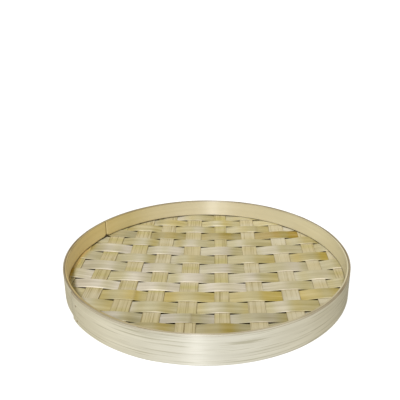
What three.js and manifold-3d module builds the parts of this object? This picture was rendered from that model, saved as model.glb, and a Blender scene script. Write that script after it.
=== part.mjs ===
// A round bamboo tray. A tall hoop, lapped over itself, goes round two inner hoops, and these grip the edge
// of a base woven from flat strips, over one and under one. Brads pin the bands' ends.
// Millimetres, +Z up. The origin is on the table under the tray's middle, and -Y is the front.
import * as THREE from 'three';
import { mergeVertices } from 'three/addons/utils/BufferGeometryUtils.js';
import Module from 'manifold-3d';

const wasm = await Module();
wasm.setup();

// The rim's bands
const RIM_DIAMETER = 300;
const RIM_HEIGHT = 30;
const OUTER_BAND = 1.8;
const INNER_BAND = 1.5;
const EDGE_EASE = 0.2; // chamfer scraped along the edges of a band
const FIT = 0.3; // clearance between pieces that touch
const BAND_STEP = 10; // longest straight facet round a band

// Where the bands end, in degrees anticlockwise from +X, seen from above
const LAP_AT = 212;
const UPPER_SEAM_AT = 146.3;
const LOWER_SEAM_AT = 38;
const SEAM_GAP = 0.8;

// The outer hoop's lap, measured along the band from the end that shows
const LAP_LENGTH = 90;
const SHOWN_TIP = 1.2; // thickness that is left at the end that shows
const SHOWN_TAPER = 10;
const TUCKED_ROOT = 0.8; // thickness left where the band goes in under its own start
const TUCKED_TAPER = 45; // the band thins to that over this length
const TUCKED_TIP = 0.6; // thickness that is left at the end tucked under
const LAP_FADE = 35; // the band settles back onto the inner hoops past the tucked end

// The woven base
const STRIP = 0.5; // thickness of every strip
const SAG = 6.9; // the base hangs this much lower in the middle than at the rim
const TABLE_GAP = 1.1; // room under the lowest strip
const CROWN = 0.1; // a weft arches this much above its grip on a warp
const SHOULDER = 1.2; // a weft clears a warp's edge by this before it dips
const MAT_TURN = -0.85; // degrees that the weave sits askew in the rim
const STRIP_TIP = 1; // width that is left at a strip's trimmed end
const WARP_STEP = 24; // longest straight facet along a warp

// Warps run front to back. Each one's width, from the left wall to the right, the gaps between them, and the
// degrees that each one is laid askew
const WARP_WIDTHS = [9.9, 17.4, 18.6, 17.4, 19.4, 15, 17, 17.6, 14.6, 10.9];
const WARP_GAPS = [16, 14.5, 12.4, 14.4, 16.6, 17.9, 18.5, 16.2, 11.5];
const WARP_TURNS = [-2.1, -2.1, -1.25, -0.7, -0.3, -0.1, -0.1, -0.2, -0.3, -0.3];

// Wefts run left to right, packed edge to edge. Each one's width, from the back wall to the front, and the
// degrees that each is turned further than the one behind it
const WEFT_WIDTHS = [
  16, 15, 16.3, 17.2, 17.3, 20, 19.4, 20.8, 20.2, 17.9, 19.8, 21.4, 16.9, 19.7, 19.5, 10.9,
];
const WEFT_FAN = 0.06;
const WEFT_GAP = 0.5;

// Brads that pin the ends of the bands
const BRAD_SHANK = 1.2;
const BRAD_HEAD = 2;
const BRAD_HEAD_HEIGHT = 0.4;
const BRAD_POINT = 1.2;
const BRAD_INSET = 11; // from a band's end, along the band
const BRAD_SIDES = 10;

const SAME_POINT = 1e-4; // corners closer than this are one corner

// Sizes that follow from these
const outerRadius = RIM_DIAMETER / 2;
const seatRadius = outerRadius - OUTER_BAND; // inner face of the outer hoop
const innerHoopRadius = seatRadius - FIT;
const clearRadius = innerHoopRadius - INNER_BAND; // inside of the tray's wall
const matRadius = seatRadius - FIT;
const lift = STRIP + FIT; // from a warp's middle to that of a weft it grips
const matHalf = STRIP / 2 + lift + CROWN;
const matHeight = TABLE_GAP + matHalf + SAG; // middle of the weave at the wall
const upperHoopBottom = matHeight + matHalf + FIT;
const lowerHoopTop = matHeight - matHalf - FIT;
const turn = 2 * Math.PI * seatRadius; // once round the rim, along the seat
const ease = Math.min(EDGE_EASE, TUCKED_TIP / 3); // no more than the thinnest end of a band can lose

const hoopBamboo = new THREE.MeshStandardMaterial({ color: 0xd8cda6, roughness: 0.5, metalness: 0 });
const wallBamboo = new THREE.MeshStandardMaterial({ color: 0xcfc08c, roughness: 0.55, metalness: 0 });
const warpBamboo = new THREE.MeshStandardMaterial({ color: 0xc2b480, roughness: 0.6, metalness: 0 });
const weftBamboo = new THREE.MeshStandardMaterial({ color: 0xd3c79c, roughness: 0.42, metalness: 0 });
const bradSteel = new THREE.MeshStandardMaterial({ color: 0x8c8272, roughness: 0.4, metalness: 0.9 });

// Helpers
const radians = THREE.MathUtils.degToRad;
const mix = THREE.MathUtils.lerp;

// Distances from the first stop to the last, with every stop kept and no step longer than given.
function stepped(stops, longest) {
  const out = [stops[0]];
  for (let i = 1; i < stops.length; i++) {
    const steps = Math.ceil((stops[i] - stops[i - 1]) / longest);
    for (let k = 1; k <= steps; k++) out.push(mix(stops[i - 1], stops[i], k / steps));
  }
  return out;
}

function toSolid(geometry) {
  const bare = geometry.clone();
  bare.deleteAttribute('normal');
  bare.deleteAttribute('uv');
  const merged = mergeVertices(bare, SAME_POINT);
  const vertProperties = new Float32Array(merged.attributes.position.array);
  const triVerts = new Uint32Array(merged.index.array);
  return new wasm.Manifold(new wasm.Mesh({ numProp: 3, vertProperties, triVerts }));
}

function toGeometry(solid) {
  const mesh = solid.getMesh();
  const geometry = new THREE.BufferGeometry();
  geometry.setAttribute('position', new THREE.BufferAttribute(mesh.vertProperties, mesh.numProp));
  geometry.setIndex(new THREE.BufferAttribute(mesh.triVerts, 1));
  geometry.computeVertexNormals();
  return geometry;
}

function named(name, geometry, material, turned = 0) {
  const mesh = new THREE.Mesh(geometry, material);
  mesh.name = name;
  mesh.rotation.z = turned;
  return mesh;
}

// A bent band: its plan runs along the outer face and back along the inner one, and is drawn up in height,
// with its edges eased.
function bandGeometry(stations, angleAt, innerAt, outerAt, bottom, top) {
  const onFace = (radiusAt) => (s) => {
    const angle = angleAt(s);
    return new THREE.Vector2(Math.cos(angle), Math.sin(angle)).multiplyScalar(radiusAt(s));
  };
  const outline = [...stations.map(onFace(outerAt)), ...stations.map(onFace(innerAt)).reverse()];
  const geometry = new THREE.ExtrudeGeometry(new THREE.Shape(outline), {
    depth: top - bottom - 2 * ease,
    bevelThickness: ease,
    bevelSize: ease,
    bevelOffset: -ease,
    bevelSegments: 1,
  });
  return geometry.translate(0, 0, bottom + ease);
}

// The outer hoop starts at the end that shows, goes once round and ends tucked under its own start.
const lapAngle = (s) => radians(LAP_AT) + s / seatRadius;
const tuckedThickness = (past) => mix(TUCKED_ROOT, TUCKED_TIP, past / LAP_LENGTH);

function outerHoopInside(s) {
  if (s < LAP_LENGTH) return seatRadius + tuckedThickness(s) + FIT;
  const settled = Math.min((s - LAP_LENGTH) / LAP_FADE, 1);
  return seatRadius + (TUCKED_TIP + FIT) * (1 - settled);
}

function outerHoopThickness(s) {
  if (s > turn) return tuckedThickness(s - turn);
  if (s > turn - TUCKED_TAPER) return mix(TUCKED_ROOT, OUTER_BAND, (turn - s) / TUCKED_TAPER);
  return mix(SHOWN_TIP, OUTER_BAND, Math.min(s / SHOWN_TAPER, 1));
}

const outerHoopOutside = (s) => outerHoopInside(s) + outerHoopThickness(s);

function outerHoopGeometry() {
  const lapped = [0, SHOWN_TAPER, LAP_LENGTH, LAP_LENGTH + LAP_FADE];
  const tucked = [turn - TUCKED_TAPER, turn, turn + LAP_LENGTH - FIT];
  const stations = stepped([...lapped, ...tucked], BAND_STEP);
  return bandGeometry(stations, lapAngle, outerHoopInside, outerHoopOutside, 0, RIM_HEIGHT);
}

// An inner hoop springs against the outer one, and its ends meet at a seam.
function innerHoopGeometry(seamAt, bottom, top) {
  const angleAt = (s) => radians(seamAt) + s / seatRadius;
  const stations = stepped([SEAM_GAP / 2, turn - SEAM_GAP / 2], BAND_STEP);
  return bandGeometry(stations, angleAt, () => clearRadius, () => innerHoopRadius, bottom, top);
}

// Strips lie side by side from one wall to the other, each turned a little about the base's middle.
function laidStrips(widths, gaps, turns) {
  let edge = -matRadius;
  return widths.map((width, i) => {
    const strip = { low: edge, high: edge + width, middle: edge + width / 2, turn: radians(turns[i]) };
    edge += width + (gaps[i] ?? 0);
    return strip;
  });
}

// Room that is over, or short, in a base of another size is shared out: among the gaps of the warps, which
// are only spaced, and among the widths of the wefts, which are packed.
const sum = (list) => list.reduce((total, value) => total + value, 0);
const weftGaps = WEFT_WIDTHS.slice(1).map(() => WEFT_GAP);
const warpSpare = (2 * matRadius - sum(WARP_WIDTHS) - sum(WARP_GAPS)) / WARP_GAPS.length;
const weftSpare = (2 * matRadius - sum(WEFT_WIDTHS) - sum(weftGaps)) / WEFT_WIDTHS.length;
const weftTurns = WEFT_WIDTHS.map((width, i) => WEFT_FAN * (i - (WEFT_WIDTHS.length - 1) / 2));
const warps = laidStrips(WARP_WIDTHS, WARP_GAPS.map((gap) => gap + warpSpare), WARP_TURNS);
const wefts = laidStrips(WEFT_WIDTHS.map((width) => width + weftSpare), weftGaps, weftTurns);

// The base hangs as a shallow dish from the rim.
const dish = (x, y) => matHeight - SAG * (1 - (x * x + y * y) / (matRadius * matRadius));

// A weft passes over warp i where the count of warp and weft together is even.
const weftSide = (i, row) => ((i + row) % 2 === 0 ? 1 : -1);

// Where a warp crosses the middle of a weft, measured along the weft.
function crossing(warp, weft) {
  const askew = warp.turn - weft.turn;
  return (warp.middle - weft.middle * Math.sin(askew)) / Math.cos(askew);
}

// Stops along a weft, with how far it lies above or below the warps there.
function weftWave(weft, row) {
  const stops = [];
  warps.forEach((warp, i) => {
    const side = weftSide(i, row);
    const grip = (warp.high - warp.low) / 2 + SHOULDER;
    const middle = crossing(warp, weft);
    const last = stops.at(-1);
    if (last) {
      for (const share of [1 / 3, 2 / 3]) {
        const at = mix(last.at, middle - grip, share);
        stops.push({ at, rise: -side * lift * Math.cos(Math.PI * share) });
      }
    }
    stops.push({ at: middle - grip, rise: side * lift });
    stops.push({ at: middle, rise: side * (lift + CROWN) });
    stops.push({ at: middle + grip, rise: side * lift });
  });
  return stops;
}

function riseOnWave(stops, at) {
  const next = stops.findIndex((stop) => stop.at >= at);
  if (next === 0) return stops[0].rise;
  if (next < 0) return stops.at(-1).rise;
  const before = stops[next - 1];
  return mix(before.rise, stops[next].rise, (at - before.at) / (stops[next].at - before.at));
}

// Half the length of a line across the round base, at a distance from its middle.
const halfChord = (offset) => Math.sqrt(Math.max(matRadius * matRadius - offset * offset, 0));

// Where a strip's length ends, where its corners meet the wall, and the stops between.
function stripStations(strip, stops) {
  const near = strip.low * strip.high < 0 ? 0 : Math.min(Math.abs(strip.low), Math.abs(strip.high));
  const reach = halfChord(near + STRIP_TIP);
  const corners = [halfChord(strip.low), halfChord(strip.high)];
  const all = [...stops, ...corners, ...corners.map((c) => -c)].filter((at) => Math.abs(at) < reach - FIT);
  const sorted = [-reach, ...all.sort((a, b) => a - b), reach];
  return sorted.filter((at, i) => i === 0 || at - sorted[i - 1] > FIT);
}

// A strip: a box with a row of facets, cut to the round of the base and set at its height in the weave.
function stripGeometry(strip, stations, place) {
  const steps = stations.length - 1;
  const geometry = new THREE.BoxGeometry(1, 1, 1, steps, 1, 1);
  const position = geometry.attributes.position;
  const point = new THREE.Vector3();
  for (let i = 0; i < position.count; i++) {
    point.fromBufferAttribute(position, i);
    const along = stations[Math.round((point.x + 0.5) * steps)];
    const wall = halfChord(along);
    const across = point.y < 0 ? Math.max(strip.low, -wall) : Math.min(strip.high, wall);
    place(point, along, across, point.z * STRIP);
    position.setXYZ(i, point.x, point.y, point.z);
  }
  geometry.computeVertexNormals();
  return geometry;
}

function weftGeometry(strip, row) {
  const wave = weftWave(strip, row);
  const stations = stripStations(strip, wave.map((stop) => stop.at));
  return stripGeometry(strip, stations, (point, along, across, up) => {
    point.set(along, across, dish(along, across) + riseOnWave(wave, along) + up);
  });
}

// A warp lies flat in the dish. Its box is turned a quarter round, so what runs along it runs along Y.
function warpGeometry(strip) {
  const stations = stripStations(strip, stepped([-matRadius, matRadius], WARP_STEP));
  return stripGeometry(strip, stations, (point, along, across, up) => {
    point.set(across, -along, dish(across, along) + up);
  });
}

// Brads go in from outside, square to the rim, through the outer hoop and into an inner one.
const upperBradHeight = (upperHoopBottom + RIM_HEIGHT) / 2;
const lowerBradHeight = lowerHoopTop / 2;
const bradTurn = THREE.MathUtils.radToDeg(BRAD_INSET / seatRadius);
const brads = [
  { name: 'lap_brad_upper', at: LAP_AT + bradTurn, height: upperBradHeight },
  { name: 'lap_brad_lower', at: LAP_AT + bradTurn, height: lowerBradHeight },
  { name: 'upper_seam_brad_right', at: UPPER_SEAM_AT - bradTurn, height: upperBradHeight },
  { name: 'upper_seam_brad_left', at: UPPER_SEAM_AT + bradTurn, height: upperBradHeight },
  { name: 'lower_seam_brad_right', at: LOWER_SEAM_AT - bradTurn, height: lowerBradHeight },
  { name: 'lower_seam_brad_left', at: LOWER_SEAM_AT + bradTurn, height: lowerBradHeight },
];

function rimFaceAt(degrees) {
  const past = THREE.MathUtils.euclideanModulo(degrees - LAP_AT, 360);
  return outerHoopOutside(radians(past) * seatRadius);
}

function bradGeometry(face) {
  const shank = face - clearRadius;
  const profile = [
    [0, FIT - shank],
    [BRAD_SHANK / 2, FIT - shank + BRAD_POINT],
    [BRAD_SHANK / 2, FIT],
    [BRAD_HEAD / 2, FIT],
    [BRAD_HEAD / 2, FIT + BRAD_HEAD_HEIGHT / 2],
    [BRAD_HEAD / 4, FIT + BRAD_HEAD_HEIGHT],
    [0, FIT + BRAD_HEAD_HEIGHT],
  ].map(([r, y]) => new THREE.Vector2(r, y));
  return new THREE.LatheGeometry(profile, BRAD_SIDES).rotateZ(-Math.PI / 2);
}

function bradMesh(brad) {
  const face = rimFaceAt(brad.at);
  const angle = radians(brad.at);
  const mesh = named(brad.name, bradGeometry(face), bradSteel, angle);
  mesh.position.set(face * Math.cos(angle), face * Math.sin(angle), brad.height);
  return mesh;
}

// Holes for the brads that cross a band. The drill reaches past the bands on both sides.
function drilled(geometry, bottom, top) {
  const radius = BRAD_SHANK / 2 + FIT;
  const reach = 2 * (OUTER_BAND + INNER_BAND);
  let solid = toSolid(geometry);
  for (const brad of brads.filter(({ height }) => height > bottom && height < top)) {
    const drill = new THREE.CylinderGeometry(radius, radius, 2 * reach, BRAD_SIDES);
    drill.rotateZ(-Math.PI / 2).translate(seatRadius, 0, brad.height).rotateZ(radians(brad.at));
    solid = solid.subtract(toSolid(drill));
  }
  return toGeometry(solid);
}

// Assembly
const tray = new THREE.Group();

const upperHoop = innerHoopGeometry(UPPER_SEAM_AT, upperHoopBottom, RIM_HEIGHT);
const lowerHoop = innerHoopGeometry(LOWER_SEAM_AT, 0, lowerHoopTop);
tray.add(named('outer_hoop', drilled(outerHoopGeometry(), 0, RIM_HEIGHT), hoopBamboo));
tray.add(named('upper_inner_hoop', drilled(upperHoop, upperHoopBottom, RIM_HEIGHT), wallBamboo));
tray.add(named('lower_inner_hoop', drilled(lowerHoop, 0, lowerHoopTop), wallBamboo));

// The weave is laid from the back to the front and from the left to the right.
const mat = new THREE.Group();
mat.rotation.z = radians(MAT_TURN);
warps.forEach((strip, i) => {
  const name = `warp_strip_${String(i + 1).padStart(2, '0')}`;
  mat.add(named(name, warpGeometry(strip), warpBamboo, strip.turn));
});
wefts.forEach((strip, row) => {
  const name = `weft_strip_${String(row + 1).padStart(2, '0')}`;
  const fromBack = { ...strip, low: -strip.high, high: -strip.low, middle: -strip.middle };
  mat.add(named(name, weftGeometry(fromBack, row), weftBamboo, strip.turn));
});
tray.add(mat);

for (const brad of brads) tray.add(bradMesh(brad));

export default tray;
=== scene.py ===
"""A round bamboo tray: a lapped outer hoop, two inner hoops, a woven base and the brads that pin the rim.

Lengths are in metres. +Z is up, -Y is the front, and the origin is on the table under the tray's middle.
"""

import math
from collections import namedtuple

import bmesh
import bpy
from bpy.props import FloatProperty, FloatVectorProperty, IntProperty, PointerProperty
from mathutils import Matrix, Vector, noise


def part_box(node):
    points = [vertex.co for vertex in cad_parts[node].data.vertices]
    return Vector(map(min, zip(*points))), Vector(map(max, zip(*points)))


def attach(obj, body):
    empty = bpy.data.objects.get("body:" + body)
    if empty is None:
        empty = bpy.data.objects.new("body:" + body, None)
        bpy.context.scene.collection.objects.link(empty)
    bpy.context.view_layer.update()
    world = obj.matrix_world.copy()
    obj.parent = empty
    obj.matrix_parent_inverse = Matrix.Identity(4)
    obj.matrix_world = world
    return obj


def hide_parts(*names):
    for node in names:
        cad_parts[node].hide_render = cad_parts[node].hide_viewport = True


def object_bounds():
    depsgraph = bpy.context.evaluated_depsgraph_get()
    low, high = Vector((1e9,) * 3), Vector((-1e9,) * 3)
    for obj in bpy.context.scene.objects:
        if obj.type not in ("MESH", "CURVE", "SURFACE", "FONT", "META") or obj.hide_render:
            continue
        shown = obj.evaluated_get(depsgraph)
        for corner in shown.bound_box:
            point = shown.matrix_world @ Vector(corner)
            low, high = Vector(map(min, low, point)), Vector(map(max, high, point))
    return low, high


bl_info = {
    "name": "Bamboo Tray",
    "version": (1, 0, 0),
    "blender": (4, 5, 0),
    "location": "View3D > Sidebar > Bamboo Tray",
    "description": "Builds a round bamboo tray with a lapped rim and a woven base",
    "category": "Add Mesh",
}

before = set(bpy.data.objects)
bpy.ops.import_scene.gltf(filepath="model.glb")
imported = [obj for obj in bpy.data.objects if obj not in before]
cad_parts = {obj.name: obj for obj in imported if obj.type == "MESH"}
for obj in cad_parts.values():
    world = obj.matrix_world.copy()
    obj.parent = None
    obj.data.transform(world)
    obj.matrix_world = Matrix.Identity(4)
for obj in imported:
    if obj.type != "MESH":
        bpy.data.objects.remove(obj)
CAD_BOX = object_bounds()
IMAGE_SIDE = 400  # pixels, of the square picture that the camera is set up for
SENSOR_WIDTH = 36  # millimetres
MM = 0.001
FIBRE_MAP = "fibre_map"  # UV map: metres along the fibres, metres across them


def radii_of(node):
    """Distances of a node's corners from the tray's axis."""
    return [math.hypot(corner.co.x, corner.co.y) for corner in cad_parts[node].data.vertices]


def linear(red, green, blue):
    """A colour as a picture stores it, 0 to 255, made linear."""
    shares = [value / 255 for value in (red, green, blue)]
    return tuple(s / 12.92 if s <= 0.04045 else ((s + 0.055) / 1.055) ** 2.4 for s in shares)


# Sizes that the frame gives
RIM_HEIGHT = CAD_BOX[1].z
SEAT_RADIUS = min(radii_of("outer_hoop"))  # inner face of the outer hoop
WALL_OUTER_RADIUS = max(radii_of("upper_inner_hoop"))
WALL_INNER_RADIUS = min(radii_of("upper_inner_hoop"))
UPPER_WALL_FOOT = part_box("upper_inner_hoop")[0].z
LOWER_WALL_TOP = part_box("lower_inner_hoop")[1].z
MAT_RADIUS = max(radii_of("weft_strip_08"))
MAT_HEIGHT = (UPPER_WALL_FOOT + LOWER_WALL_TOP) / 2  # middle of the weave at the wall

# Tones of split bamboo, as places on the ramp from the palest strip to the darkest
CREAM, PALE, STRAW, WHEAT, TAN, OLIVE, HONEY = 0.0, 0.2, 0.4, 0.55, 0.7, 0.85, 1.0

# Each strip's tone at its two ends and how light it is: wefts from the back, left to right, and warps from
# the left, front to back
WEFT_TONES = (
    (STRAW, WHEAT, 1.0), (WHEAT, WHEAT, 1.09), (WHEAT, STRAW, 1.02), (TAN, HONEY, 0.8),
    (STRAW, WHEAT, 0.98), (PALE, STRAW, 0.98), (STRAW, TAN, 0.97), (PALE, STRAW, 0.97),
    (PALE, STRAW, 1.03), (CREAM, STRAW, 1.08), (TAN, TAN, 1.06), (STRAW, WHEAT, 1.05),
    (PALE, STRAW, 0.86), (TAN, WHEAT, 0.83), (STRAW, STRAW, 1.0), (WHEAT, STRAW, 1.0),
)
WARP_TONES = (
    (WHEAT, WHEAT, 1.0), (WHEAT, TAN, 1.0), (WHEAT, WHEAT, 1.0), (WHEAT, STRAW, 1.0), (WHEAT, WHEAT, 1.0),
    (WHEAT, TAN, 1.0), (STRAW, STRAW, 1.0), (PALE, PALE, 1.0), (PALE, STRAW, 1.0), (STRAW, STRAW, 1.0),
)

# Degrees that each warp is laid askew in the weave, from the left
WARP_TURNS = (-2.1, -2.1, -1.25, -0.7, -0.3, -0.1, -0.1, -0.2, -0.3, -0.3)

# Strips that show a ring scar of the bamboo, and how far along from the strip's middle it lies
WEFT_SCARS = {2: 0.061, 10: -0.072, 12: -0.014}
WARP_SCARS = {8: -0.066}
NO_SCAR = 10.0  # far outside the tray

# The fifth warp has split from its front end
SPLIT_WARP = 4


def length_setting(name, description, millimetres):
    return FloatProperty(name=name, description=description, default=millimetres * MM, unit="LENGTH")


def angle_setting(name, description, degrees):
    return FloatProperty(
        name=name, description=description, default=math.radians(degrees), subtype="ANGLE")


def number_setting(name, description, number):
    return FloatProperty(name=name, description=description, default=number)


def colour_setting(name, description, colour):
    return FloatVectorProperty(
        name=name, description=description, default=colour, subtype="COLOR", size=3, min=0, max=1)


class RimSettings(bpy.types.PropertyGroup):
    """Sizes and colours of the three hoops."""

    lap_at: angle_setting(
        "Lap", "Where the outer hoop's outer end shows, anticlockwise from the right", 212)
    upper_seam_at: angle_setting("Upper Seam", "Where the upper inner hoop's ends meet", 146.3)
    lower_seam_at: angle_setting("Lower Seam", "Where the lower inner hoop's ends meet", 38)
    seam_gap: length_setting("Seam Gap", "Gap between the ends of an inner hoop", 0.8)
    seam_lift: length_setting("Seam Lift", "How far one end of the upper hoop rises off the weave", 0.9)
    seam_lift_length: length_setting("Seam Lift Length", "Length of the hoop that rises", 28)
    seam_nick: length_setting("Seam Nick", "Corner broken off each end at the seam's foot", 2.2)
    outer_band: length_setting("Outer Band", "Thickness of the outer hoop", 1.8)
    fit: length_setting("Fit", "Clearance between bands that touch", 0.3)
    lap_length: length_setting("Lap Length", "How far the outer hoop overlaps itself", 90)
    shown_tip: length_setting("Shown Tip", "Thickness at the end that shows", 1.2)
    shown_taper: length_setting("Shown Taper", "Length over which the end that shows thins out", 10)
    tucked_root: length_setting(
        "Tucked Root", "Thickness where the hoop goes in under its own start", 0.8)
    tucked_taper: length_setting("Tucked Taper", "Length over which the hoop thins to that", 45)
    tucked_tip: length_setting("Tucked Tip", "Thickness at the end that is tucked in", 0.6)
    lap_fade: length_setting("Lap Fade", "Length over which the hoop settles past the tucked end", 35)
    edge_round: length_setting("Edge Round", "Rounding scraped along a band's edges", 0.18)
    edge_wander: length_setting("Edge Wander", "Unevenness of a band's knife-cut edge", 0.25)
    relief: length_setting("Relief", "Height of the ridges along a band", 0.07)
    hoop_colour: colour_setting(
        "Outer Hoop", "Scraped bamboo of the outer hoop", linear(219, 215, 197))
    hoop_honey: colour_setting(
        "Outer Hoop, Riper", "Riper stretches of the outer hoop", linear(210, 200, 166))
    wall_pale: colour_setting(
        "Inner Wall, Paler", "Paler stretches of the inner hoops", linear(224, 214, 176))
    # Partly painted shade: the duller colour sits on the back right of the wall
    wall_dull: colour_setting(
        "Inner Wall, Duller", "Duller stretches of the inner hoops", linear(197, 187, 152))
    wall_colour: colour_setting("Inner Wall", "Bamboo of the inner hoops", linear(203, 192, 160))
    wall_tan: colour_setting(
        "Inner Wall, Tan", "Tan stretches of the inner hoops", linear(199, 182, 127))
    # Partly painted fill light: the left of the wall is riper and brighter than its lighting makes it
    wall_honey: colour_setting(
        "Inner Wall, Riper", "Riper stretches of the inner hoops", linear(239, 214, 146))
    line_colour: colour_setting("Fibre Lines", "Grey-green fibres in the bands", linear(146, 138, 98))
    # The stain colour also paints shade: in the crevice between the hoops, at the walls' foot and along the
    # top edges
    stain_colour: colour_setting(
        "Edge Stain", "Handled edges and the crevice between the hoops", linear(92, 66, 8))


class WeaveSettings(bpy.types.PropertyGroup):
    """Sizes and colours of the woven base."""

    turn: angle_setting("Turn", "How far askew the weave sits in the rim", -0.85)
    fan: angle_setting("Fan", "How much further each weft is turned than the one behind it", 0.06)
    thickness: length_setting("Strip Thickness", "Thickness of every strip", 0.5)
    fit: length_setting("Fit", "Clearance between strips that cross", 0.15)
    sag: length_setting("Sag", "How much lower the base hangs in its middle", 6.9)
    crown: length_setting("Crown", "How high a weft arches over a warp", 0.25)
    tip: length_setting("Tip", "Width left at a strip's trimmed end", 1)
    edge_round: length_setting("Edge Round", "Rounding of a strip's edges", 0.12)
    columns: IntProperty(name="Columns", description="Faces across a strip", default=22, min=4)
    step: length_setting("Step", "Length of a face along a strip", 1.6)
    weft_camber: length_setting("Weft Camber", "How far a weft's middle stands above its edges", 0.1)
    weft_gap: length_setting("Weft Gap", "How much narrower than its place a weft is", 0.65)
    weft_wander: length_setting("Weft Wander", "Unevenness of a weft's edges", 0.3)
    warp_wander: length_setting("Warp Wander", "Unevenness of a warp's edges", 0.45)
    relief: length_setting("Fibre Relief", "Height of the fibres on a strip", 0.05)
    split_length: length_setting("Split Length", "Length of the split in the fifth warp", 68)
    split_depth: length_setting("Split Depth", "Depth of the split in the fifth warp", 0.4)
    cream: colour_setting("Cream", "The palest wefts", linear(181, 171, 149))
    straw: colour_setting("Straw", "Wefts of the middle tone", linear(164, 154, 113))
    tan: colour_setting("Tan", "The darker wefts", linear(161, 145, 84))
    olive: colour_setting("Olive", "The greenest wefts", linear(162, 142, 66))
    # Honey also paints the warm shade of the wefts along the left wall
    honey: colour_setting("Honey", "Wefts from the outside of the stem", linear(170, 134, 38))
    warp_pale: colour_setting("Pale Warp", "The palest warps", linear(187, 178, 150))
    warp_tan: colour_setting("Tan Warp", "Warps of the middle tone", linear(180, 167, 128))
    warp_olive: colour_setting("Olive Warp", "The darkest warps", linear(172, 161, 107))
    # Painted warm shade of the warps along the left wall
    warp_honey: colour_setting("Honey Warp", "Warps browned at the wall", linear(205, 176, 108))
    line_colour: colour_setting("Fibre Lines", "Dark fibres in the strips", linear(122, 106, 56))
    stain_colour: colour_setting(
        "Stain", "Ring scars, splits and the skin left on a warp's edges", linear(92, 70, 22))


class BradSettings(bpy.types.PropertyGroup):
    """Sizes and colours of the brads."""

    shank: length_setting("Shank", "Diameter of a brad's wire", 1.2)
    head: length_setting("Head", "Diameter of a brad's head", 2)
    head_height: length_setting("Head Height", "Height of a brad's head", 0.4)
    point: length_setting("Point", "Length of a brad's point", 1.2)
    sides: IntProperty(name="Sides", description="Faces round a brad", default=28, min=8)
    steel: colour_setting("Steel", "Dull wire", linear(204, 196, 172))
    rust: colour_setting("Rust", "Rust on the wire", linear(168, 146, 108))


class StageSettings(bpy.types.PropertyGroup):
    """The camera, the lights and the floor."""

    focal_pixels: number_setting("Focal Length", "Focal length in pixels of the picture", 546.46)
    distance: length_setting("Distance", "From the camera to the tray's middle", 595.66)
    target_height: length_setting("Target Height", "Height of the tray's middle", 15)
    elevation: angle_setting("Elevation", "How far above the tray's middle the camera stands", 28.427)
    dip: angle_setting("Dip", "How far below the horizon the camera points", 21.70)
    heading: angle_setting("Heading", "How far right of the tray's middle the camera points", -0.672)
    roll: angle_setting("Roll", "How far the camera leans", -0.576)
    key_strength: number_setting("Key Strength", "Strength of the broad front light", 3.05)
    key_spread: angle_setting("Key Spread", "How broad the front light looks from the tray", 8)
    key_azimuth: angle_setting(
        "Key Azimuth", "Where the front light stands, anticlockwise from the right", 261)
    key_elevation: angle_setting("Key Elevation", "Height of the front light above the horizon", 50)
    left_strength: number_setting("Left Strength", "Strength of the broad light from the left", 0.55)
    left_spread: angle_setting("Left Spread", "How broad the left light looks from the tray", 60)
    left_azimuth: angle_setting(
        "Left Azimuth", "Where the left light stands, anticlockwise from the right", 185)
    left_elevation: angle_setting("Left Elevation", "Height of the left light above the horizon", 20)
    right_strength: number_setting("Right Strength", "Strength of the broad light from the right", 0.25)
    right_spread: angle_setting("Right Spread", "How broad the right light looks from the tray", 60)
    right_azimuth: angle_setting(
        "Right Azimuth", "Where the right light stands, anticlockwise from the right", 332)
    right_elevation: angle_setting("Right Elevation", "Height of the right light above the horizon", 30)
    sky: number_setting("Sky", "Strength of the light from all round", 0.43)
    floor_colour: colour_setting("Floor", "Plain pale floor", (0.93, 0.93, 0.93))
    floor_bounce: colour_setting(
        "Floor Bounce", "What the floor throws back at the tray", (0.25, 0.25, 0.25))
    # Painted shade: the floor under the tray is dark, as if in the tray's shadow
    floor_shade: colour_setting(
        "Floor Shade", "The floor under the tray, seen through slits in the weave", linear(84, 54, 4))
    floor_side: length_setting("Floor Side", "Side of the floor", 40_000)


class TraySettings(bpy.types.PropertyGroup):
    """All the settings of the tray."""

    rim: PointerProperty(type=RimSettings)
    weave: PointerProperty(type=WeaveSettings)
    brads: PointerProperty(type=BradSettings)
    stage: PointerProperty(type=StageSettings)


class Value:
    """A socket of a node tree, so that sums on it can be written as sums."""

    def __init__(self, graph, socket):
        self.graph = graph
        self.socket = socket

    def __add__(self, other):
        return self.graph.math("ADD", self, other)

    def __sub__(self, other):
        return self.graph.math("SUBTRACT", self, other)

    def __rsub__(self, other):
        return self.graph.math("SUBTRACT", other, self)

    def __mul__(self, other):
        return self.graph.math("MULTIPLY", self, other)

    def __truediv__(self, other):
        return self.graph.math("DIVIDE", self, other)


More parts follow.
